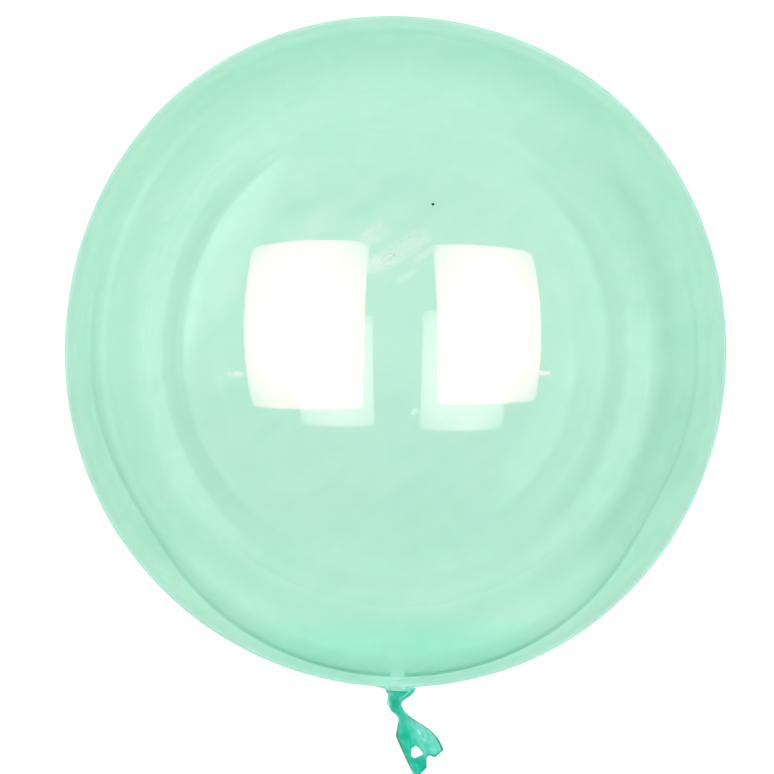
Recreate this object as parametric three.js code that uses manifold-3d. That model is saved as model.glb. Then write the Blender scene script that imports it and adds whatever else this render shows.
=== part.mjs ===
// A clear bubble balloon, lying on its side as it does when it is loose.
//
// One piece of stretch film makes the bubble, the funnel under it, the twisted neck and the flared tail,
// so the balloon is one solid. Millimetres, +Z up. +Y points to the crown and the tail points along -Y.
// The origin is on the small flat spot that the bubble rests on, straight below the middle of its waist.

import * as THREE from "three";
import { mergeVertices } from "three/addons/utils/BufferGeometryUtils.js";
import Module from "manifold-3d";

// ---------------------------------------------------------------- driving dimensions

const bubble = {
  waistRadius: 225, // an 18 inch bubble, blown up by hand
  crownHeight: 223, // from the waist to the crown
  neckDepth: 233, // from the waist to the neck end of the oval
  crownSwell: 1.3, // how much fuller than an oval it is between the waist and the crown
  neckSwell: 0.3, // and between the waist and the neck
  skew: 0.75, // how far the crown end leans to the left and the neck end to the right
  neckTip: 6, // how far the film is pulled out where it runs into the neck
  neckTipSpread: 0.07, // radians from the axis over which that tip fades into the oval
  flatSpotRadius: 22,
  segmentsAround: 64,
  segmentsAlong: 38,
  crowding: 1.25, // above 1, the rings lie closer together towards the neck
};

// The neck and tail, in sections across the balloon's axis. drop is the distance below the bubble,
// left and right are the edges seen from above, and thick is half the height of the film bundle.
const tailSections = [
  { drop: -6.1, left: -10.2, right: 14.8, thick: 11.5 },
  { drop: 0, left: -7.5, right: 12.2, thick: 9.5 },
  { drop: 2.7, left: -5, right: 10.5, thick: 7.4 },
  { drop: 5.1, left: -5, right: 7.6, thick: 5.6 },
  { drop: 7.3, left: -5.5, right: 4.8, thick: 4.4 },
  { drop: 10.4, left: -5.2, right: 3.5, thick: 3.6 },
  { drop: 14.3, left: -3, right: 5.9, thick: 3.4 },
  { drop: 17.3, left: 0, right: 8.4, thick: 3.4 },
  { drop: 20.8, left: 1.3, right: 13.1, thick: 3.1 },
  { drop: 25.7, left: 0.8, right: 21.3, thick: 2.5 },
  { drop: 32.4, left: -0.1, right: 28.2, thick: 1.9 },
  { drop: 37.6, left: 1.7, right: 31.2, thick: 1.6 },
  { drop: 42.1, left: 3.5, right: 33, thick: 1.4 },
  { drop: 49, left: 6.6, right: 33.2, thick: 1.3 },
  { drop: 55.6, left: 9.6, right: 31.2, thick: 1.2 },
  { drop: 62.5, left: 12.9, right: 26.5, thick: 1 },
];

const tail = {
  across: 0.7, // how far to the right of the bubble's axis the neck leaves it
  pleats: 5, // folds of film gathered round the neck
  pleatDepth: 0.14, // as a share of the neck's radius
  pleatTurn: -0.12, // radians of twist for each millimetre of drop
  foldWaves: 1.15, // waves across the flat tail
  foldRise: 3, // how far the ridge of the tail stands up
  ridgeAt: -0.4, // the ridge's place across the tail, from -1 at the left edge to 1 at the right
  droop: 0.16, // how far the tail sinks for each millimetre past the neck
  flatFrom: 14, // the neck is round above this drop
  flatBy: 27, // and the tail is flat below this one
  segmentsAround: 32,
  segmentsAlong: 44,
};

// The half knot: one turn of the neck's own film wrapped round it, higher on the left than on the right.
const knot = {
  drop: 8.8,
  across: -1.6,
  ringRadius: 3.7,
  bandHalfWidth: 3.1,
  bandHalfThickness: 1.3,
  tilt: 0.55, // radians
  sidesAcross: 8,
  sidesAround: 28,
};

// The see-through gap between the two lobes of the tail, as [across, drop].
const gapCorners = [
  [13.3, 38.5],
  [10.6, 40.3],
  [10.3, 46.2],
  [12.5, 47.7],
  [19, 45.2],
  [15.8, 40],
];

// What is torn away between the right lobe's lower edge and the longer lobe.
const notchCorners = [
  [35.3, 39.8],
  [32.1, 43],
  [27.2, 48],
  [22.9, 46.5],
  [21.2, 47.9],
  [21.2, 54.9],
  [18.4, 57],
  [16.5, 59],
  [14.6, 65],
  [45, 65],
];

// Clear film with a mint tint.
const film = { color: 0xbcf2dc, roughness: 0.06, metalness: 0, transparent: true, opacity: 0.45 };

const restHeight = Math.sqrt(bubble.waistRadius ** 2 - bubble.flatSpotRadius ** 2);
const neckStart = bubble.neckDepth + bubble.neckTip;
const cutterHeight = 60;

// ---------------------------------------------------------------- solids

const wasm = await Module();
wasm.setup();

// Merges a closed geometry's shared corners and makes it a solid that can be joined and cut.
function toSolid(geometry) {
  geometry.deleteAttribute("normal");
  geometry.deleteAttribute("uv");
  const merged = mergeVertices(geometry, 1e-4);
  return new wasm.Manifold(
    new wasm.Mesh({
      numProp: 3,
      vertProperties: new Float32Array(merged.attributes.position.array),
      triVerts: new Uint32Array(merged.index.array),
    })
  );
}

// Turns a finished solid back into a geometry for a mesh.
function toGeometry(solid) {
  const mesh = solid.getMesh();
  const geometry = new THREE.BufferGeometry();
  geometry.setAttribute("position", new THREE.BufferAttribute(new Float32Array(mesh.vertProperties), 3));
  geometry.setIndex(new THREE.BufferAttribute(new Uint32Array(mesh.triVerts), 1));
  geometry.computeVertexNormals();
  return geometry;
}

// ---------------------------------------------------------------- the bubble

// Distance from the middle of the waist to the film, at an angle measured from the crown.
function filmDistance(angle) {
  const lean = (bubble.crownHeight - bubble.neckDepth) / 2;
  const stretch = (bubble.crownHeight + bubble.neckDepth) / 4 - bubble.waistRadius / 2;
  const oval = bubble.waistRadius + stretch + lean * Math.cos(angle) + stretch * Math.cos(2 * angle);
  const swell = angle < Math.PI / 2 ? bubble.crownSwell : bubble.neckSwell;
  const fromNeck = (Math.PI - angle) / bubble.neckTipSpread;
  return oval + 2 * swell * Math.sin(2 * angle) ** 2 + bubble.neckTip * Math.exp(-fromNeck * fromNeck);
}

// Moves a point of the film along its line from the middle, for the skew.
function skewFilm(point) {
  const { x, y } = point.clone().normalize();
  return point.setLength(point.length() - 4 * bubble.skew * x * y ** 3);
}

// The bubble is turned about the Y axis, from the neck end up to the crown.
function makeBubble() {
  const outline = [];
  for (let i = 0; i <= bubble.segmentsAlong; i += 1) {
    const angle = Math.PI * (1 - (i / bubble.segmentsAlong) ** bubble.crowding);
    const onAxis = i === 0 || i === bubble.segmentsAlong;
    const radius = onAxis ? 0 : filmDistance(angle) * Math.sin(angle);
    outline.push(new THREE.Vector2(radius, filmDistance(angle) * Math.cos(angle)));
  }
  const geometry = new THREE.LatheGeometry(outline, bubble.segmentsAround);
  const position = geometry.attributes.position;
  for (let i = 0; i < position.count; i += 1) {
    const point = skewFilm(new THREE.Vector3().fromBufferAttribute(position, i));
    position.setXYZ(i, point.x, point.y, point.z);
  }
  geometry.translate(0, 0, restHeight);
  return toSolid(geometry);
}

// ---------------------------------------------------------------- the neck and tail

const sectionAt = new THREE.CubicInterpolant(
  tailSections.map((section) => section.drop),
  tailSections.flatMap((section) => [section.left, section.right, section.thick]),
  3
);

// Places a point of the neck or tail: turn goes round the section, drop runs down from the bubble.
function tailPoint(turn, drop, share) {
  const [left, right, thick] = sectionAt.evaluate(drop);
  const flatness = THREE.MathUtils.smoothstep(drop, tail.flatFrom, tail.flatBy);
  const pleat = Math.cos(tail.pleats * turn + tail.pleats * tail.pleatTurn * drop);
  const gather = 1 + tail.pleatDepth * (1 - flatness) * pleat;
  const across = Math.cos(turn) * share;
  const wave = Math.cos(Math.PI * tail.foldWaves * (across - tail.ridgeAt));
  const sink = tail.droop * Math.max(0, drop - tail.flatFrom);
  return new THREE.Vector3(
    (left + right) / 2 + ((right - left) / 2) * across * gather,
    -neckStart - drop,
    restHeight + thick * Math.sin(turn) * share * gather + tail.foldRise * flatness * wave - sink
  );
}

// The neck and tail start as a plain cylinder, whose points are moved to their places on the sections.
function makeNeckAndTail() {
  const firstDrop = tailSections[0].drop;
  const lastDrop = tailSections[tailSections.length - 1].drop;
  const length = lastDrop - firstDrop;
  const geometry = new THREE.CylinderGeometry(1, 1, length, tail.segmentsAround, tail.segmentsAlong);
  const position = geometry.attributes.position;
  for (let i = 0; i < position.count; i += 1) {
    const turn = Math.atan2(position.getZ(i), position.getX(i));
    const share = Math.hypot(position.getX(i), position.getZ(i));
    const drop = firstDrop + length / 2 - position.getY(i);
    const point = tailPoint(turn, drop, share);
    position.setXYZ(i, point.x, point.y, point.z);
  }
  return toSolid(geometry);
}

// The half knot is a ring with a flat oval section, tilted across the neck.
function makeKnot() {
  const { ringRadius, bandHalfWidth, bandHalfThickness } = knot;
  const tube = 0.5; // of the plain ring of radius 1 that the loop below shapes
  const geometry = new THREE.TorusGeometry(1, tube, knot.sidesAcross, knot.sidesAround);
  const position = geometry.attributes.position;
  for (let i = 0; i < position.count; i += 1) {
    const turn = Math.atan2(position.getY(i), position.getX(i));
    const outward = (Math.hypot(position.getX(i), position.getY(i)) - 1) / tube;
    const along = position.getZ(i) / tube;
    const radius = ringRadius + bandHalfThickness * outward;
    position.setXYZ(i, radius * Math.cos(turn), -bandHalfWidth * along, radius * Math.sin(turn));
  }
  geometry.rotateZ(-knot.tilt);
  geometry.translate(knot.across, -neckStart - knot.drop, restHeight);
  return toSolid(geometry);
}

// A tall prism with the given corners, to cut the film from above.
function makeCutter(corners) {
  const outline = new THREE.Shape(corners.map(([across, drop]) => new THREE.Vector2(across, -drop)));
  const geometry = new THREE.ExtrudeGeometry(outline, { depth: cutterHeight, bevelEnabled: false });
  geometry.translate(0, -neckStart, restHeight - cutterHeight / 2);
  return toSolid(geometry);
}

// ---------------------------------------------------------------- the balloon

function makeBalloon() {
  const tailPiece = makeNeckAndTail()
    .subtract(makeCutter(gapCorners))
    .subtract(makeCutter(notchCorners))
    .add(makeKnot())
    .translate(tail.across, 0, 0);
  const cutterWidth = 4 * bubble.flatSpotRadius;
  const belowFloor = new THREE.BoxGeometry(cutterWidth, cutterWidth, cutterHeight);
  belowFloor.translate(0, 0, -cutterHeight / 2);
  const solid = makeBubble()
    .add(tailPiece)
    .subtract(toSolid(belowFloor));
  const mesh = new THREE.Mesh(toGeometry(solid), new THREE.MeshStandardMaterial(film));
  mesh.name = "balloon";
  return mesh;
}

const group = new THREE.Group();
group.add(makeBalloon());

export default group;
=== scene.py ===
# A clear bubble balloon in mint film, lying on its side on a pale floor, seen from above.
#
# Metres, +Z up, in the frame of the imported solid. +Y points to the crown and the tail points along -Y.

import math

import bmesh
import bpy
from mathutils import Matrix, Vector, noise


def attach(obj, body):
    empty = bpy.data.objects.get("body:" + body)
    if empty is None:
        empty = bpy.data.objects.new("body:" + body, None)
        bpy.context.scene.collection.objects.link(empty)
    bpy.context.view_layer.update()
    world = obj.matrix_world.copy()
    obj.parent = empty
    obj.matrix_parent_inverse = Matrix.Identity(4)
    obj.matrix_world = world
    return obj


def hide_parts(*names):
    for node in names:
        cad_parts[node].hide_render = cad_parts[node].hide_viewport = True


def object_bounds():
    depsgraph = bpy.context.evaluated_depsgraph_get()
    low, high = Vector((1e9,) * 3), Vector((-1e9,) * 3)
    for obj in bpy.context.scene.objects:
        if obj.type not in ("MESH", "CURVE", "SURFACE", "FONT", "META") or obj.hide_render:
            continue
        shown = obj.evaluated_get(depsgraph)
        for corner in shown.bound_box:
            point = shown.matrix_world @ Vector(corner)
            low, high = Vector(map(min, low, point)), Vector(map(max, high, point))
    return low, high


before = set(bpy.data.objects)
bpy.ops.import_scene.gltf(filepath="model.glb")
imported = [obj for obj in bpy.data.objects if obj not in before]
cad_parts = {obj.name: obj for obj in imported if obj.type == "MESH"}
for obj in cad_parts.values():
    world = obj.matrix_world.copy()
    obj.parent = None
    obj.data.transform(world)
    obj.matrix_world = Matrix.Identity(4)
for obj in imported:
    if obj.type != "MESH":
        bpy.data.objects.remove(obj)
cad_low, cad_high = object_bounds()

# ---------------------------------------------------------------- driving dimensions

mm = 0.001

waist_radius = 225 * mm
crown_height = 223 * mm  # from the waist to the crown
neck_depth = 233 * mm  # from the waist to the neck end of the oval
crown_swell = 1.3 * mm  # how much fuller than an oval it is between the waist and the crown
neck_swell = 0.3 * mm  # and between the waist and the neck
skew = 0.75 * mm  # how far the crown end leans to the left and the neck end to the right
neck_tip = 6 * mm  # how far the film is pulled out where it runs into the neck
neck_tip_spread = 0.07  # radians from the axis over which that tip fades into the oval
flat_spot_radius = 22 * mm
floor_clearance = 0.03 * mm  # so that the film and the floor don't share a plane
underside_lean = 4 * mm  # how far the film underneath sits to the right
film_thickness = 0.25 * mm

bubble_segments = 240
bubble_rings = 198

neck_pleats = 17  # fine pleats that run up the bubble from the neck
neck_pleat_height = 0.15 * mm
neck_pleat_reach = 0.2  # radians from the axis over which they fade
film_waviness = 0.05 * mm  # the slight unevenness of blown film
film_wave_length = 85 * mm

# The neck and tail in sections across the balloon's axis, in millimetres: the drop below the bubble,
# the left and right edges seen from above, and half the height of the bundle of film.
tail_sections = [
    (-1.2, -8.3, 12.8, 10.0),
    (0.0, -7.5, 12.2, 9.5),
    (2.7, -5.0, 10.5, 7.4),
    (5.1, -5.0, 7.6, 5.6),
    (7.3, -5.5, 4.8, 4.4),
    (10.4, -5.2, 3.5, 3.6),
    (14.3, -3.0, 5.9, 3.4),
    (17.3, 0.0, 8.4, 3.4),
    (20.8, 1.3, 13.1, 3.1),
    (25.7, 0.8, 21.3, 2.5),
    (32.4, -0.1, 28.2, 1.9),
    (37.6, 1.7, 31.2, 1.6),
    (42.1, 3.5, 33.0, 1.4),
    (49.0, 6.6, 33.2, 1.3),
    (55.6, 9.6, 31.2, 1.2),
    (62.3, 12.9, 26.5, 1.0),
]
tail_across = 0.7  # millimetres to the right of the bubble's axis at which the neck leaves it
tail_pleats = 5  # folds of film gathered round the neck
tail_pleat_depth = 0.09  # as a share of the neck's radius
fine_pleats = 11  # smaller folds between them
fine_pleat_depth = 0.03
tail_pleat_turn = -0.12  # radians of twist for each millimetre of drop
tail_fold_waves = 1.15  # waves across the flat tail
tail_fold_rise = 3.0  # millimetres that the ridge of the tail stands up
tail_ridge_at = -0.4  # the ridge's place across the tail, from -1 at the left edge to 1 at the right
tail_crease_at = 0.28  # a sharp crease down the right lobe
tail_crease_height = 1.1
tail_crease_width = 0.06  # on the same scale
tail_crease_end = (36, 41)  # the drops between which it fades out
tail_droop = 0.16  # how far the tail sinks for each millimetre past the neck
tail_flat_from = 14.0  # the neck is round above this drop
tail_flat_by = 27.0  # and the tail is flat below this one
tail_segments_around = 160
tail_segments_along = 180
tail_wall = 0.25 * mm
# Highlights painted as pale streaks along the right lobe's creases: across, drop, length and width.
crease_highlights = [(7.9, 18.7, 1.8, 1.0), (15.7, 29.2, 4.5, 1.1), (19.9, 35.3, 3.0, 1.0)]
crease_highlight_slope = -0.96  # radians
crease_highlight_strength = 0.55
# The right lobe, where less film is gathered: the drops over which it begins and ends, and its side
# across the tail, from -1 to 1.
lobe_start = (16, 26)
lobe_end = (42, 50)
lobe_side = (-0.45, 0.15)
folded_sides = (0.85, 0.97)  # the outermost shares of the tail, where its film folds over
folded_from = (12, 18)
torn_edge_shade_width = 1.1 * mm  # painted shade along the edge where film is torn away

# The gap between the two lobes of the tail, and what is torn away beside the longer lobe,
# as millimetres across and of drop.
gap_corners = [(13.3, 38.5), (10.6, 40.3), (10.3, 46.2), (12.5, 47.7), (19.0, 45.2), (15.8, 40.0)]
notch_corners = [
    (35.3, 39.8),
    (32.1, 43.0),
    (27.2, 48.0),
    (22.9, 46.5),
    (21.2, 47.9),
    (21.2, 54.9),
    (18.4, 57.0),
    (16.5, 59.0),
    (14.6, 65.0),
    (45.0, 65.0),
]

knot_drop = 8.8
knot_across = -1.6
knot_ring_radius = 3.7
knot_band_half_width = 3.1
knot_band_half_thickness = 1.3
knot_tilt = 0.55
knot_grooves = 2  # along its band
knot_groove_depth = 0.06  # as a share of the band's thickness
knot_side_shade = 0.45  # painted shade on its left side, which stands clear of the neck
knot_shaded_side = (3.9, 4.8)  # how far out on that side it begins and is full
knot_wall = 0.25 * mm

rest_height = math.sqrt(waist_radius**2 - flat_spot_radius**2)
neck_start = neck_depth + neck_tip
middle = Vector((0, 0, rest_height))

# ---------------------------------------------------------------- the camera

camera_distance = 5 * waist_radius  # straight above the bubble's middle
camera_lens = 75.4
camera_beside = Vector((-5.7 * mm, -28.4 * mm, 0))  # off the middle, so that the tail is in view


def add_camera():
    data = bpy.data.cameras.new("camera")
    data.lens = camera_lens
    camera = bpy.data.objects.new("camera", data)
    bpy.context.scene.collection.objects.link(camera)
    camera.location = middle + camera_beside + Vector((0, 0, camera_distance))
    bpy.context.scene.camera = camera


add_camera()

# ---------------------------------------------------------------- helpers


def select_only(piece):
    bpy.ops.object.select_all(action="DESELECT")
    piece.select_set(True)
    bpy.context.view_layer.objects.active = piece


def name_piece(name):
    piece = bpy.context.object
    piece.name = name
    piece.data.name = name
    return piece


def settle(piece):
    """Puts the piece's place into its mesh, so that its object sits at the origin."""
    select_only(piece)
    bpy.ops.object.transform_apply(location=True, rotation=True, scale=True)


def tidy_surface(piece):
    """Merges doubles, turns the faces outwards and shades them smooth."""
    select_only(piece)
    bpy.ops.object.mode_set(mode="EDIT")
    bpy.ops.mesh.select_all(action="SELECT")
    bpy.ops.mesh.remove_doubles(threshold=0.001 * mm)
    bpy.ops.mesh.normals_make_consistent(inside=False)
    bpy.ops.object.mode_set(mode="OBJECT")
    bpy.ops.object.shade_smooth()


def apply_all(piece):
    select_only(piece)
    for modifier in list(piece.modifiers):
        bpy.ops.object.modifier_apply(modifier=modifier.name)


def give_wall(piece, thickness):
    wall = piece.modifiers.new("wall", "SOLIDIFY")
    wall.thickness = thickness
    wall.offset = -1
    apply_all(piece)


def mark_points(piece, name, shares):
    """Notes a share from 0 to 1 at each point, for the material."""
    piece.data.attributes.new(name, "FLOAT", "POINT").data.foreach_set("value", shares)


def smoothstep(value, low, high):
    share = min(1, max(0, (value - low) / (high - low)))
    return share * share * (3 - 2 * share)


# ---------------------------------------------------------------- the bubble


def film_distance(angle):
    """How far the film is from the bubble's middle, at an angle measured from the crown."""
    lean = (crown_height - neck_depth) / 2
    stretch = (crown_height + neck_depth) / 4 - waist_radius / 2
    oval = waist_radius + stretch + lean * math.cos(angle) + stretch * math.cos(2 * angle)
    swell = crown_swell if angle < math.pi / 2 else neck_swell
    tip = neck_tip * math.exp(-(((math.pi - angle) / neck_tip_spread) ** 2))
    return oval + 2 * swell * math.sin(2 * angle) ** 2 + tip


def film_relief(direction, angle):
    """The film's slight unevenness, and the pleats that run up from the neck."""
    turn = math.atan2(direction.x, direction.z)
    waves = noise.noise(direction * (waist_radius / film_wave_length)) * film_waviness
    from_neck = math.pi - angle
    uneven = 1.6 * noise.noise(Vector((math.cos(turn), math.sin(turn), 3 * from_neck)) * 2)
    pleat = math.cos(neck_pleats * turn + uneven)
    fade = math.exp(-((from_neck / neck_pleat_reach) ** 2)) * smoothstep(from_neck, 0, 0.05)
    return waves + neck_pleat_height * pleat * fade


def rest_on_floor(place):
    """Presses the underside up a little and to the right, most at the bottom, where it rests."""
    press = waist_radius - rest_height + film_waviness + floor_clearance
    depth = max(0, rest_height - place.z) / waist_radius
    return place + Vector((underside_lean, 0, press)) * depth**3


def make_bubble():
    bpy.ops.mesh.primitive_uv_sphere_add(
        segments=bubble_segments,
        ring_count=bubble_rings,
        radius=waist_radius,
        rotation=(math.pi / 2, 0, 0),
    )
    bubble = name_piece("bubble")
    settle(bubble)
    fit = (cad_high.x - cad_low.x) / 2 / (waist_radius + 1.2 * film_waviness)
    for vertex in bubble.data.vertices:
        direction = vertex.co.normalized()
        angle = math.acos(max(-1, min(1, direction.y)))
        lean = -4 * skew * direction.x * direction.y**3
        reach = (film_distance(angle) + lean + film_relief(direction, angle)) * fit
        vertex.co = rest_on_floor(middle + direction * reach)
    tidy_surface(bubble)
    give_wall(bubble, film_thickness)
    return bubble


# ---------------------------------------------------------------- the neck and tail


def section_at(drop):
    """The left edge, right edge and half height of the film at a drop, on a smooth curve."""
    last = len(tail_sections) - 2
    k = next((i for i in range(last + 1) if drop <= tail_sections[i + 1][0]), last)
    before = tail_sections[max(0, k - 1)]
    start = tail_sections[k]
    end = tail_sections[k + 1]
    after = tail_sections[min(last + 1, k + 2)]
    span = end[0] - start[0]
    t = (drop - start[0]) / span
    values = []
    for i in (1, 2, 3):
        slope_in = (end[i] - before[i]) / (end[0] - before[0]) * span
        slope_out = (after[i] - start[i]) / (after[0] - start[0]) * span
        values.append(
            start[i] * (2 * t**3 - 3 * t**2 + 1)
            + slope_in * (t**3 - 2 * t**2 + t)
            + end[i] * (3 * t**2 - 2 * t**3)
            + slope_out * (t**3 - t**2)
        )
    return values


def tail_point(turn, drop):
    """A point of the tail's film: turn goes round the section, drop runs down from the bubble."""
    left, right, thick = section_at(drop)
    flatness = smoothstep(drop, tail_flat_from, tail_flat_by)
    roundness = 1 - flatness
    pleat = math.cos(tail_pleats * (turn + tail_pleat_turn * drop))
    fine = math.cos(fine_pleats * (turn + 0.7 * tail_pleat_turn * drop) + 1.3)
    gather = 1 + roundness * (tail_pleat_depth * pleat + fine_pleat_depth * fine)
    across = math.cos(turn)
    wave = math.cos(math.pi * tail_fold_waves * (across - tail_ridge_at))
    crumple = noise.noise(Vector((across * 2.3, drop * 0.09, math.sin(turn) * 0.8)))
    sink = tail_droop * max(0, drop - tail_flat_from)
    crease = math.exp(-(((across - tail_crease_at) / tail_crease_width) ** 2))
    crease = crease * (1 - smoothstep(drop, *tail_crease_end))
    rise = flatness * (tail_fold_rise * (wave + 0.5 * crumple) + tail_crease_height * crease)
    x = (left + right) / 2 + (right - left) / 2 * across * gather + tail_across
    z = thick * math.sin(turn) * gather + rise - sink
    return Vector((x * mm, -neck_start - drop * mm, rest_height + z * mm))


def gathering(turn, drop):
    """How much film is gathered at a point: all at the neck and tip, little in the right lobe."""
    lobe = smoothstep(math.cos(turn), *lobe_side) * smoothstep(drop, *lobe_start)
    return 1 - lobe * (1 - smoothstep(drop, *lobe_end))


def fold_shade(turn, drop):
    """1 at the tail's folded sides, which get painted shade, and 0 on its flat film."""
    return smoothstep(abs(math.cos(turn)), *folded_sides) * smoothstep(drop, *folded_from)


def highlight_share(across, drop):
    """How much painted highlight the film has at a place, from 0 to 1: most in the middle of a highlighted
    crease.
    """
    right, up = math.cos(crease_highlight_slope), math.sin(crease_highlight_slope)
    nearest = math.inf
    for middle_across, middle_drop, length, width in crease_highlights:
        x, y = across - middle_across, middle_drop - drop
        along = (x * right + y * up) / (length / 2)
        beside = (y * right - x * up) / (width / 2)
        nearest = min(nearest, along**2 + beside**2)
    return crease_highlight_strength * math.exp(-nearest)


def make_tail():
    first = tail_sections[0][0]
    last = tail_sections[-1][0]
    bpy.ops.mesh.primitive_grid_add(
        x_subdivisions=tail_segments_around,
        y_subdivisions=tail_segments_along,
        size=2,
    )
    tail = name_piece("neck_and_tail")
    places = []
    for vertex in tail.data.vertices:
        turn = math.pi * (vertex.co.x + 1)
        drop = first + (last - first) * (vertex.co.y + 1) / 2
        vertex.co = tail_point(turn, drop)
        places.append((turn, drop))
    torn = seen_outline(notch_corners)
    edges = []
    highlight_shares = []
    for vertex, (turn, drop) in zip(tail.data.vertices, places):
        to_torn = (vertex.co.xy - nearest_on(vertex.co.xy, torn)).length
        # painted shade at the folded sides and along the torn edge
        edges.append(max(fold_shade(turn, drop), 1 - min(1, to_torn / torn_edge_shade_width)))
        # the painted highlights along the right lobe's creases
        highlight_shares.append(highlight_share(vertex.co.x / mm - tail_across, drop))
    mark_points(tail, "gathered", [gathering(*place) for place in places])
    mark_points(tail, "edge", edges)
    mark_points(tail, "pale", highlight_shares)
    tidy_surface(tail)
    for corners in (gap_corners, notch_corners):
        cut_out(tail, corners)
    give_wall(tail, tail_wall)
    return tail


def seen_outline(corners):
    """Corners given by millimetres across and of drop, as places seen from above."""
    return [((across + tail_across) * mm, -neck_start - drop * mm) for across, drop in corners]


def is_inside(x, y, outline):
    """Whether a place seen from above is inside an outline."""
    inside = False
    for (x1, y1), (x2, y2) in zip(outline, outline[1:] + outline[:1]):
        if (y1 > y) != (y2 > y) and x < x1 + (x2 - x1) * (y - y1) / (y2 - y1):
            inside = not inside
    return inside


def nearest_on(place, outline):
    """The point of an outline that is nearest to a place."""
    points = []
    for start, end in zip(outline, outline[1:] + outline[:1]):
        start, end = Vector(start), Vector(end)
        share = (place - start).dot(end - start) / (end - start).length_squared
        points.append(start + (end - start) * min(1, max(0, share)))
    return min(points, key=lambda point: (point - place).length)


def cut_out(piece, corners):
    """Cuts an outline out of single film, seen from above, and moves the cut edge onto the outline."""
    outline = seen_outline(corners)
    film = bmesh.new()
    film.from_mesh(piece.data)
    cut = {face for face in film.faces if is_inside(*face.calc_center_median().xy, outline)}
    edge = {vertex for face in cut for vertex in face.verts if not cut.issuperset(vertex.link_faces)}
    bmesh.ops.delete(film, geom=list(cut), context="FACES")
    for vertex in edge:
        vertex.co.xy = nearest_on(vertex.co.xy, outline)
    bmesh.ops.dissolve_degenerate(film, dist=0.01 * mm, edges=film.edges)
    film.to_mesh(piece.data)
    film.free()


def make_knot():
    bpy.ops.mesh.primitive_torus_add(
        major_segments=120,
        minor_segments=40,
        major_radius=1,
        minor_radius=0.5,
        rotation=(math.pi / 2, 0, 0),
    )
    knot = name_piece("knot")
    settle(knot)
    for vertex in knot.data.vertices:
        turn = math.atan2(vertex.co.z, vertex.co.x)
        outward = (math.hypot(vertex.co.x, vertex.co.z) - 1) / 0.5
        along = vertex.co.y / 0.5
        groove = math.cos(2 * math.pi * knot_grooves * along + math.sin(turn)) * max(0, outward)
        thickness = outward + knot_groove_depth * groove
        radius = knot_ring_radius + knot_band_half_thickness * thickness
        vertex.co = Vector((radius * math.cos(turn), knot_band_half_width * along, radius * math.sin(turn)))
    edges = []
    for vertex in knot.data.vertices:
        x, y, z = vertex.co
        tilted_x = x * math.cos(knot_tilt) + y * math.sin(knot_tilt)
        tilted_y = y * math.cos(knot_tilt) - x * math.sin(knot_tilt)
        place = Vector((tilted_x + knot_across + tail_across, tilted_y - knot_drop, z)) * mm
        vertex.co = place + middle - Vector((0, neck_start, 0))
        # painted shade on the knot's left side
        edges.append(knot_side_shade * smoothstep(-tilted_x, *knot_shaded_side))
    mark_points(knot, "edge", edges)
    tidy_surface(knot)
    give_wall(knot, knot_wall)
    return knot


# ---------------------------------------------------------------- materials

# Faint smears on the upper film, in millimetres from the bubble's middle: the middle of each, its length
# and width, its slope in radians and its weight.
smears = [
    (1, 47.5, 40, 12.5, 0.58, 0.95),
    (-12, 58, 17, 12, 0.65, 0.85),
    (15.4, 46, 16, 4, 0.6, 0.85),
    (4.7, 33, 15, 4, 0.6, 0.85),
    (-42, 66, 26, 14, 0.6, 0.35),
    (-9, 66, 40, 10, 0.5, 0.3),
    (-92, -21, 10, 2.8, 0, 0.95),
    (83, -20.5, 10, 2.6, 0, 0.95),
    (9.5, -42.5, 5, 4, 0.8, 0.95),
    (-94, 30, 8, 22, 0, 0.2),
]
smear_roughness = 0.265
film_roughness = 0.012
film_roughness_spread = 0.04  # how much rougher it is in places
film_surface_tint = (0.9565, 0.993, 0.984)  # a little of the mint is in the surface
film_body_tint = (0.33, 0.8, 0.52)  # and most is in the film's thickness
film_body_density = 1180  # per metre
wipe_slope = 0.6
crease_slope = -1.22  # the way that the tail hangs, for the streaks of painted crease shade
edge_shade_tint = (0.41, 0.65, 0.59)  # painted shade of folded sides and torn edges, against the film beside them
# Where the film is slightly thicker, deeper in colour, and duller, by the share of the way to the neck.
middle_shade = [(0, 0), (0.2, 1), (0.55, 1), (0.72, 0.2)]
neck_deepening = [(0.88, 0), (0.985, 1)]
neck_end = [(0.965, 0), (0.99, 1)]
neck_highlight_at = 1.1  # a painted highlight: a lighter strip that runs up from the neck, millimetres across from the axis
neck_highlight_strip = [(0, 0.8), (0.003, 0.8), (0.0055, 1), (0.1, 1)]
speck_at = (20.2, 74.7)  # a speck of dirt on the upper film, on the same axes
speck_radius = 0.8

# Where the profiles below take over from each other: the right one from the left one, by how far the way
# points to the right from 0 to 2, and the neck's and the crown's, by how far it points to that end.
right_side = [(0.8, 0), (1.2, 1)]
neck_side = [(0.55, 0), (0.85, 1)]
crown_side = [(0.5, 0), (0.92, 1)]
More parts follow.
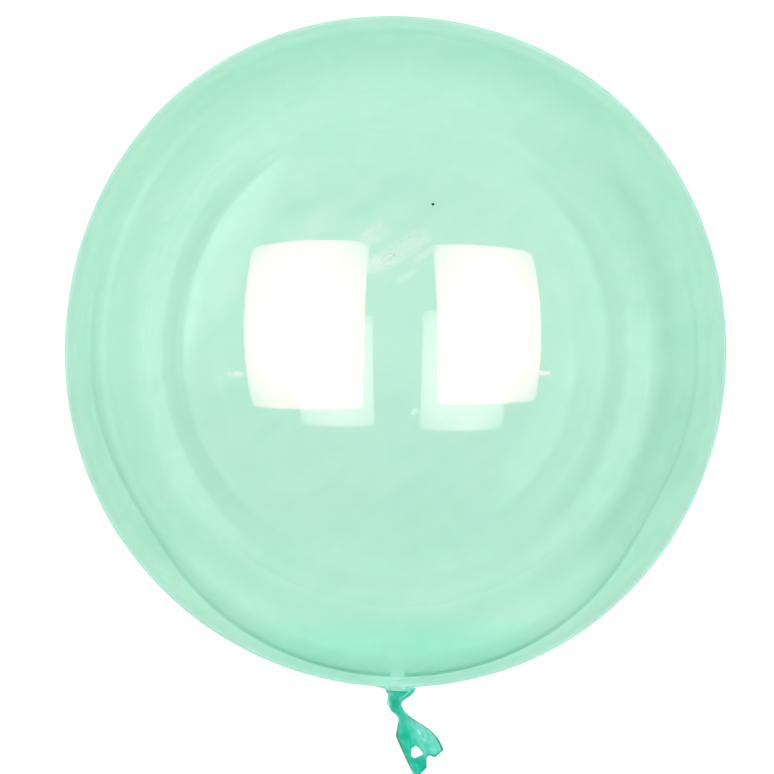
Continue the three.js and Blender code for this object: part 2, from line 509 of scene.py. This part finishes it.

# How bright the floor is at a distance in metres, as rings of painted light and shade: to the left, to the
# right, past the neck and the crown.
floor_levels = [
    [
        (0, 0.53), (0.275, 0.53), (0.288, 0.62), (0.33, 0.62), (0.38, 0.54), (0.47, 0.53), (0.6, 0.48),
        (0.8, 0.5), (0.93, 0.68), (1.15, 0.45), (1.35, 0.47), (2, 0.42), (2.8, 0.5), (4, 0.6), (8, 0.65),
    ],
    [
        (0, 0.53), (0.275, 0.53), (0.288, 0.62), (0.33, 0.62), (0.38, 0.54), (0.47, 0.52), (0.55, 0.46),
        (0.95, 0.42), (1.1, 0.34), (1.3, 0.25), (1.6, 0.14), (2.1, 0.09), (2.9, 0.2), (4, 0.38), (8, 0.6),
    ],
    [
        (0, 0.53), (0.275, 0.53), (0.288, 0.59), (0.33, 0.59), (0.4, 0.53), (0.7, 0.56), (0.9, 0.58),
        (1.3, 0.57), (1.6, 0.48), (2.1, 0.4), (2.9, 0.37), (4, 0.44), (8, 0.5),
    ],
    [
        (0, 0.53), (0.268, 0.53), (0.284, 0.64), (0.34, 0.64), (0.4, 0.54), (0.47, 0.52), (0.56, 0.38),
        (0.8, 0.36), (1, 0.42), (2, 0.55), (4, 0.6), (8, 0.64),
    ],
]

# The floor's sheet ends at these distances to the sides and towards the neck, where a painted shadow line
# and wider painted shade run along its edge. The shadow's darkness goes by the share of those distances,
# and its weight by the direction, up to 2 past the neck.
sheet_middle = 0.025
sheet_half_width = 0.725
sheet_end = 0.48
sheet_squareness = 8
sheet_edge_shadow = [(0.95, 0), (0.98, 0.68), (1.03, 0.68), (1.1, 0.36), (1.3, 0.22), (1.7, 0)]
edge_weight = [(0.6, 0), (0.95, 0.45), (1.2, 0.5), (1.45, 0.9), (1.8, 1)]
edge_gap_at = 0.005  # the painted shadow is all but broken here, a little to the right of the neck
edge_gap = 0.022
edge_gap_shadow = 0.2

# How bright the room is by the height of the view, from level at 0 to straight up at 1, to the same sides.
room_levels = [
    [(0, 1.3), (0.1, 1.3), (0.14, 0.65), (0.26, 0.45), (0.29, 1.05), (0.4, 0.95), (0.55, 0.8)],
    [(0, 1.15), (0.11, 1.15), (0.18, 0.36), (0.27, 0.34), (0.32, 0.9), (0.43, 0.9), (0.53, 0.75)],
    [(0, 0.85), (0.06, 0.85), (0.14, 0.85), (0.29, 0.65), (0.42, 0.45), (0.7, 0.4), (0.85, 0.55)],
    [(0, 1.25), (0.1, 1.2), (0.4, 1), (0.7, 0.85)],
]
# A light wall to the left of the crown and a dim one to the right of it: the way across and along to
# each, how far round it reaches, how bright it is by the height, and whether it adds or takes away.
room_walls = [
    ((-0.88, 0.48), [(0.79, 0), (0.9, 1)], [(0.27, 0), (0.3, 1), (0.42, 0.95), (0.62, 0.85), (0.8, 0)], 1),
    ((0.82, 0.57), [(0.8, 0), (0.97, 1)], [(0, 0.65), (0.1, 0.6), (0.2, 0)], -1),
]
floor_shade = [(2, 0), (4, 0.45), (8, 0.5)]  # painted shade on the floor before the dim wall, by distance


def new_material(name):
    material = bpy.data.materials.new(name)
    material.use_nodes = True
    nodes = material.node_tree.nodes
    return material, nodes, material.node_tree.links, nodes["Principled BSDF"], nodes["Material Output"]


def add_noise(nodes, links, scale, detail):
    place = nodes.new("ShaderNodeTexCoord")
    pattern = nodes.new("ShaderNodeTexNoise")
    pattern.inputs["Scale"].default_value = scale
    pattern.inputs["Detail"].default_value = detail
    links.new(place.outputs["Object"], pattern.inputs["Vector"])
    return pattern.outputs["Fac"]


def add_range(nodes, links, value, low, high):
    spread = nodes.new("ShaderNodeMapRange")
    spread.inputs["From Min"].default_value = 0.3
    spread.inputs["From Max"].default_value = 0.7
    spread.inputs["To Min"].default_value = low
    spread.inputs["To Max"].default_value = high
    links.new(value, spread.inputs["Value"])
    return spread.outputs["Result"]


def add_tint(nodes, links, value, one, other):
    tint = nodes.new("ShaderNodeMix")
    tint.data_type = "RGBA"
    tint.inputs["A"].default_value = (*one, 1)
    tint.inputs["B"].default_value = (*other, 1)
    links.new(value, tint.inputs["Factor"])
    return tint.outputs["Result"]


def add_attribute(nodes, name):
    attribute = nodes.new("ShaderNodeAttribute")
    attribute.attribute_name = name
    return attribute.outputs["Fac"]


def add_product(nodes, links, one, other):
    product = nodes.new("ShaderNodeMix")
    product.data_type = "RGBA"
    product.blend_type = "MULTIPLY"
    product.inputs["Factor"].default_value = 1
    links.new(one, product.inputs["A"])
    links.new(other, product.inputs["B"])
    return product.outputs["Result"]


def add_bump(nodes, links, value, strength, distance):
    bump = nodes.new("ShaderNodeBump")
    bump.inputs["Strength"].default_value = strength
    bump.inputs["Distance"].default_value = distance
    links.new(value, bump.inputs["Height"])
    return bump.outputs["Normal"]


def add_absorption(nodes, links, output, colour, density):
    body = nodes.new("ShaderNodeVolumeAbsorption")
    body.inputs["Color"].default_value = (*colour, 1)
    body.inputs["Density"].default_value = density
    links.new(body.outputs["Volume"], output.inputs["Volume"])


def add_streaks(nodes, links, slope, along, across):
    """A noise drawn out along a slope in radians."""
    place = nodes.new("ShaderNodeTexCoord")
    turned = nodes.new("ShaderNodeMapping")
    turned.vector_type = "TEXTURE"
    turned.inputs["Rotation"].default_value = (0, 0, slope)
    turned.inputs["Scale"].default_value = (1 / along, 1 / across, 1 / along)
    pattern = nodes.new("ShaderNodeTexNoise")
    pattern.inputs["Scale"].default_value = 1
    pattern.inputs["Detail"].default_value = 3
    links.new(place.outputs["Object"], turned.inputs["Vector"])
    links.new(turned.outputs["Vector"], pattern.inputs["Vector"])
    return pattern.outputs["Fac"]


def add_smears(nodes, links, split):
    """Where faint smears lie on the upper film, from 0 to 1, with streaks along each."""
    above = add_math(nodes, links, "GREATER_THAN", split.outputs["Z"], rest_height)
    total = 0
    for x, y, length, width, slope, weight in smears:
        along = [math.cos(slope), math.sin(slope)]
        reach = []
        for (right, up), half in ((along, length / 2), ((-along[1], along[0]), width / 2)):
            one = add_math(nodes, links, "MULTIPLY", split.outputs["X"], right / (half * mm))
            other = add_math(nodes, links, "MULTIPLY", split.outputs["Y"], up / (half * mm))
            offset = -(x * right + y * up) / half
            reach.append(add_math(nodes, links, "ADD", add_math(nodes, links, "ADD", one, other), offset))
        sizes = [add_math(nodes, links, "ABSOLUTE", value) for value in reach]
        far = [add_math(nodes, links, "POWER", size, 3) for size in sizes]
        inside = add_ramp(nodes, links, add_math(nodes, links, "ADD", *far), 2, [(0.1, weight), (1.6, 0)])
        total = add_math(nodes, links, "ADD", inside, total)
    broken = add_range(nodes, links, add_streaks(nodes, links, wipe_slope, 40, 240), 0.85, 1.1)
    return add_math(nodes, links, "MULTIPLY", add_math(nodes, links, "MULTIPLY", total, above), broken)


def add_speck(nodes, links, split):
    """1 on the speck of dirt and 0 off it."""
    above = add_math(nodes, links, "GREATER_THAN", split.outputs["Z"], rest_height)
    places = zip((split.outputs["X"], split.outputs["Y"]), speck_at)
    offsets = [add_math(nodes, links, "SUBTRACT", value, at * mm) for value, at in places]
    squares = [add_math(nodes, links, "MULTIPLY", offset, offset) for offset in offsets]
    total = add_math(nodes, links, "ADD", *squares)
    near = add_math(nodes, links, "LESS_THAN", total, (speck_radius * mm) ** 2)
    return add_math(nodes, links, "MULTIPLY", near, above)


def clear_film():
    """Taut, glossy, see-through film with a mint tint in its thickness."""
    material, nodes, links, shader, output = new_material("clear_mint_film")
    shader.inputs["Transmission Weight"].default_value = 1
    shader.inputs["IOR"].default_value = 1.45
    place = nodes.new("ShaderNodeTexCoord")
    split = nodes.new("ShaderNodeSeparateXYZ")
    links.new(place.outputs["Object"], split.inputs["Vector"])
    smeared = add_smears(nodes, links, split)
    cloud = add_range(nodes, links, add_noise(nodes, links, 22, 4), 0, 1)
    gloss = add_math(nodes, links, "MULTIPLY", cloud, film_roughness_spread)
    gloss = add_math(nodes, links, "ADD", gloss, film_roughness)
    smear = add_math(nodes, links, "MULTIPLY", smeared, smear_roughness)
    rough = add_math(nodes, links, "ADD", gloss, smear)
    links.new(rough, shader.inputs["Roughness"])
    to_neck = add_math(nodes, links, "MULTIPLY", split.outputs["Y"], -1 / waist_radius)
    # Painted highlight: a lighter strip up from the neck, where the deeper tint is lifted.
    beside = add_math(nodes, links, "SUBTRACT", split.outputs["X"], neck_highlight_at * mm)
    off_highlight = add_ramp(nodes, links, add_math(nodes, links, "ABSOLUTE", beside), 0.1, neck_highlight_strip)
    deep = add_ramp(nodes, links, to_neck, 1, neck_deepening)
    streaks = add_streaks(nodes, links, wipe_slope, 7, 70)
    tint = add_tint(nodes, links, cloud, (1, 1, 1), (0.955, 0.99, 0.985))
    for share, colour in (
        (add_ramp(nodes, links, to_neck, 1, middle_shade), (0.965, 0.975, 0.975)),
        (add_math(nodes, links, "MULTIPLY", deep, off_highlight), (0.64, 0.985, 0.97)),
        (add_ramp(nodes, links, to_neck, 1, neck_end), (0.98, 0.96, 0.96)),
        (add_range(nodes, links, streaks, 0, 1), (0.94, 0.99, 0.985)),
        (smeared, (0.98, 1, 1)),
        (add_speck(nodes, links, split), (0.01, 0.02, 0.02)),
    ):
        tint = add_product(nodes, links, tint, add_tint(nodes, links, share, (1, 1, 1), colour))
    links.new(tint, shader.inputs["Base Color"])
    ripple = add_noise(nodes, links, 30, 2)
    links.new(add_bump(nodes, links, ripple, 0.04, 0.5 * mm), shader.inputs["Normal"])
    shader.inputs["Coat Weight"].default_value = 1
    shader.inputs["Coat IOR"].default_value = 1
    shader.inputs["Coat Tint"].default_value = (*film_surface_tint, 1)
    add_absorption(nodes, links, output, film_body_tint, film_body_density)
    return material


def gathered_film(name, single, folded):
    """Unstretched film, whose mint is deeper, most of all where much of it is gathered. single and folded
    are each the palest and the deepest tint."""
    material, nodes, links, shader, output = new_material(name)
    shader.inputs["Transmission Weight"].default_value = 1
    shader.inputs["IOR"].default_value = 1.2
    cloud = add_range(nodes, links, add_noise(nodes, links, 160, 3), 0, 1)
    links.new(add_range(nodes, links, cloud, 0.04, 0.1), shader.inputs["Roughness"])
    depth = add_tint(nodes, links, add_attribute(nodes, "gathered"), (0, 0, 0), (0, 0, 0))
    links.new(add_tint(nodes, links, cloud, *single), depth.node.inputs["A"])
    links.new(add_tint(nodes, links, cloud, *folded), depth.node.inputs["B"])
    # Painted shade: the folded sides and torn edges come out darker.
    edge = add_tint(nodes, links, add_attribute(nodes, "edge"), (1, 1, 1), edge_shade_tint)
    # Painted shade in creases: darker streaks along the way that the tail hangs.
    crease_shade = add_range(nodes, links, add_streaks(nodes, links, crease_slope, 45, 420), 0, 1)
    crease_shaded = add_tint(nodes, links, crease_shade, (1, 1, 1), (0.84, 0.91, 0.9))
    tint = add_product(nodes, links, add_product(nodes, links, depth, edge), crease_shaded)
    # Painted highlights: the base colour turns white along the lobe's creases.
    pale = add_tint(nodes, links, add_attribute(nodes, "pale"), (0, 0, 0), (1, 1, 1))
    links.new(tint, pale.node.inputs["A"])
    links.new(pale, shader.inputs["Base Color"])
    wrinkle = add_noise(nodes, links, 300, 4)
    links.new(add_bump(nodes, links, wrinkle, 0.9, 0.9 * mm), shader.inputs["Normal"])
    return material


def add_math(nodes, links, operation, one, other=0):
    """A sum on two values, each a number or another node's output."""
    step = nodes.new("ShaderNodeMath")
    step.operation = operation
    for socket, value in zip(step.inputs, (one, other)):
        if isinstance(value, (int, float)):
            socket.default_value = value
        else:
            links.new(value, socket)
    return step.outputs["Value"]


def add_ramp(nodes, links, value, reach, stops):
    """A smooth curve through stops, each (place, level), for values from 0 to reach."""
    ramp = nodes.new("ShaderNodeValToRGB")
    ramp.color_ramp.interpolation = "EASE"
    points = ramp.color_ramp.elements
    while len(points) < len(stops):
        points.new(0.5)
    for point, (place, level) in zip(points, stops):
        point.position = place / reach
        point.color = (level, level, level, 1)
    links.new(add_math(nodes, links, "DIVIDE", value, reach), ramp.inputs["Fac"])
    return ramp.outputs["Color"]


def add_blend(nodes, links, share, one, other):
    blend = nodes.new("ShaderNodeMix")
    links.new(share, blend.inputs["Factor"])
    links.new(one, blend.inputs["A"])
    links.new(other, blend.inputs["B"])
    return blend.outputs["Result"]


def add_levels(nodes, links, value, reach, levels, to_right, to_crown):
    """A brightness from the profile for the side that it is on, with soft changes between the sides."""
    left, right, neck, crown = [add_ramp(nodes, links, value, reach, stops) for stops in levels]
    from_left = add_math(nodes, links, "ADD", to_right, 1)
    to_neck = add_math(nodes, links, "MULTIPLY", to_crown, -1)
    level = left
    for way, span, stops, side in (
        (from_left, 2, right_side, right),
        (to_neck, 1, neck_side, neck),
        (to_crown, 1, crown_side, crown),
    ):
        level = add_blend(nodes, links, add_ramp(nodes, links, way, span, stops), level, side)
    return level


def add_share(nodes, links, to, direction, around):
    """How far a view is towards a wall, from 0 to 1, by how well it agrees with the wall's direction."""
    towards = [add_math(nodes, links, "MULTIPLY", *pair) for pair in zip(to, direction)]
    return add_ramp(nodes, links, add_math(nodes, links, "ADD", *towards), 1, around)


def floor_finish():
    """A pale floor. Out of view it has wide rings of painted light and shade, which the film mirrors as
    soft bands, and its sheet ends in a painted shadow line, which shows as a line along the bubble's lower
    rim."""
    material, nodes, links, shader, output = new_material("pale_floor")
    place = nodes.new("ShaderNodeTexCoord")
    parts = nodes.new("ShaderNodeSeparateXYZ")
    links.new(place.outputs["Object"], parts.inputs["Vector"])
    length = nodes.new("ShaderNodeVectorMath")
    length.operation = "LENGTH"
    links.new(place.outputs["Object"], length.inputs[0])
    distance = length.outputs["Value"]

    def calculate(operation, one, other=0):
        return add_math(nodes, links, operation, one, other)

    def ramp(value, reach, stops):
        return add_ramp(nodes, links, value, reach, stops)

    to_crown = calculate("DIVIDE", parts.outputs["Y"], distance)
    to_right = calculate("DIVIDE", parts.outputs["X"], distance)
    # Painted light and shade: rings on the floor, and shade before the dim wall.
    level = add_levels(nodes, links, distance, 8, floor_levels, to_right, to_crown)
    direction, around, heights, sign = room_walls[1]
    shade = add_share(nodes, links, (to_right, to_crown), direction, around)
    shade = calculate("MULTIPLY", shade, ramp(distance, 8, floor_shade))
    level = calculate("MULTIPLY", level, calculate("SUBTRACT", 1, shade))

    # Painted shadow along the edge of the floor's sheet.
    across = calculate("ABSOLUTE", calculate("SUBTRACT", parts.outputs["X"], sheet_middle))
    across = calculate("POWER", calculate("DIVIDE", across, sheet_half_width), sheet_squareness)
    along = calculate("MAXIMUM", calculate("DIVIDE", parts.outputs["Y"], -sheet_end), 0)
    along = calculate("POWER", along, sheet_squareness)
    reach = calculate("POWER", calculate("ADD", across, along), 1 / sheet_squareness)
    beside = calculate("ABSOLUTE", calculate("SUBTRACT", to_right, edge_gap_at))
    weight = ramp(calculate("SUBTRACT", 1, to_crown), 2, edge_weight)
    edge = calculate("MULTIPLY", ramp(reach, 2, sheet_edge_shadow), weight)
    limit = calculate("ADD", calculate("GREATER_THAN", beside, edge_gap), edge_gap_shadow)
    edge = calculate("MINIMUM", edge, limit)

    grain = add_range(nodes, links, add_noise(nodes, links, 60, 4), 0.98, 1.02)
    level = calculate("MULTIPLY", level, calculate("SUBTRACT", 1, edge))
    links.new(calculate("MULTIPLY", level, grain), shader.inputs["Base Color"])
    shader.inputs["Roughness"].default_value = 0.9
    shader.inputs["Specular IOR Level"].default_value = 0
    return material


def finish_piece(piece, material):
    piece.data.materials.clear()
    piece.data.materials.append(material)
    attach(piece, "root")
    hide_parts("balloon")


# ---------------------------------------------------------------- the balloon

bubble = make_bubble()
tail = make_tail()
knot = make_knot()
bubble_material = clear_film()
gathered_material = gathered_film(
    "gathered_mint_film",
    ((0.45, 0.87, 0.785), (0.335, 0.775, 0.68)),
    ((0.14, 0.775, 0.625), (0.096, 0.66, 0.52)),
)
tied_material = gathered_film(
    "tied_mint_film",
    ((0.45, 1, 0.96), (0.38, 0.99, 0.94)),
    ((0.45, 1, 0.96), (0.38, 0.99, 0.94)),
)
finish_piece(bubble, bubble_material)
finish_piece(tail, gathered_material)
finish_piece(knot, tied_material)
bubble.visible_shadow = False
bubble.visible_diffuse = False
for piece in (tail, knot):
    piece.visible_glossy = False
    piece.visible_shadow = False

# ---------------------------------------------------------------- floor and light

panel_brightness = 15  # in the middle of a softbox
panel_edge_loss = 0.7  # how much weaker it is in the corners
panel_tint = (1, 0.33, 0.46)  # so that they come out white on the green film
lamp_strength = 3.75


def shape_panel(data):
    """Rounds a softbox's corners and lets it fade from its middle to its corners."""
    data.use_nodes = True
    nodes, links = data.node_tree.nodes, data.node_tree.links
    place = nodes.new("ShaderNodeNewGeometry")
    split = nodes.new("ShaderNodeSeparateXYZ")
    links.new(place.outputs["Parametric"], split.inputs["Vector"])
    offsets = [add_math(nodes, links, "SUBTRACT", split.outputs[axis], 0.5) for axis in "XY"]
    squares = [add_math(nodes, links, "MULTIPLY", offset, offset) for offset in offsets]
    spread = add_math(nodes, links, "ADD", *squares)
    loss = add_math(nodes, links, "MULTIPLY", spread, 2 * panel_edge_loss)
    fade = add_math(nodes, links, "SUBTRACT", 1, loss)
    shares = [add_math(nodes, links, "MULTIPLY", square, 4) for square in squares]
    corners = [add_math(nodes, links, "POWER", share, 10) for share in shares]
    inside = add_math(nodes, links, "LESS_THAN", add_math(nodes, links, "ADD", *corners), 1.1)
    strength = add_math(nodes, links, "MULTIPLY", fade, inside)
    links.new(strength, nodes["Emission"].inputs["Strength"])


def add_panel(name, left, right, low, high, tilt):
    """A softbox over the bubble, for the film to mirror. left and right are its sides as (across, height
    above the middle) and low and high its ends towards the neck and the crown, all in waist radii."""
    data = bpy.data.lights.new(name, "AREA")
    data.shape = "RECTANGLE"
    data.size = math.dist(left, right) * waist_radius
    data.size_y = (high - low) * waist_radius
    data.energy = panel_brightness * math.pi * data.size * data.size_y
    data.color = panel_tint
    shape_panel(data)
    panel = bpy.data.objects.new(name, data)
    bpy.context.scene.collection.objects.link(panel)
    centre = Vector(((left[0] + right[0]) / 2, (low + high) / 2, (left[1] + right[1]) / 2))
    panel.location = middle + centre * waist_radius
    panel.rotation_euler = (-tilt, -math.atan2(right[1] - left[1], right[0] - left[0]), 0)
    panel.visible_diffuse = False


def add_floor():
    bpy.ops.object.select_all(action="DESELECT")
    bpy.ops.mesh.primitive_plane_add(size=30)
    floor = name_piece("floor")
    floor.data.materials.append(floor_finish())


def add_lamp():
    """Lights the floor evenly, and isn't mirrored in the film."""
    data = bpy.data.lights.new("floor_lamp", "SUN")
    data.energy = lamp_strength
    lamp = bpy.data.objects.new("floor_lamp", data)
    bpy.context.scene.collection.objects.link(lamp)
    lamp.visible_glossy = False
    lamp.visible_transmission = False


def add_sky():
    """A pale room, with light and dark bands low down that the film mirrors."""
    world = bpy.data.worlds.new("soft_room")
    world.use_nodes = True
    nodes, links = world.node_tree.nodes, world.node_tree.links
    place = nodes.new("ShaderNodeTexCoord")
    parts = nodes.new("ShaderNodeSeparateXYZ")
    links.new(place.outputs["Generated"], parts.inputs["Vector"])
    to_right, to_crown, height = (parts.outputs[axis] for axis in "XYZ")
    level = add_levels(nodes, links, height, 1, room_levels, to_right, to_crown)
    for direction, around, heights, sign in room_walls:
        share = add_share(nodes, links, (to_right, to_crown), direction, around)
        share = add_math(nodes, links, "MULTIPLY", share, sign)
        wall = add_math(nodes, links, "MULTIPLY", share, add_ramp(nodes, links, height, 1, heights))
        level = add_math(nodes, links, "ADD", level, wall)
    links.new(level, nodes["Background"].inputs["Color"])
    bpy.context.scene.world = world


add_floor()
add_panel("left_softbox", (-4.3, 4.14), (-0.86, 5.34), -1.7, 2.8, math.radians(8))
add_panel("right_softbox", (0.85, 4.17), (3.25, 3.52), -1.17, 2.13, math.radians(4.5))
add_lamp()
add_sky()
bpy.context.scene.view_settings.view_transform = "Standard"
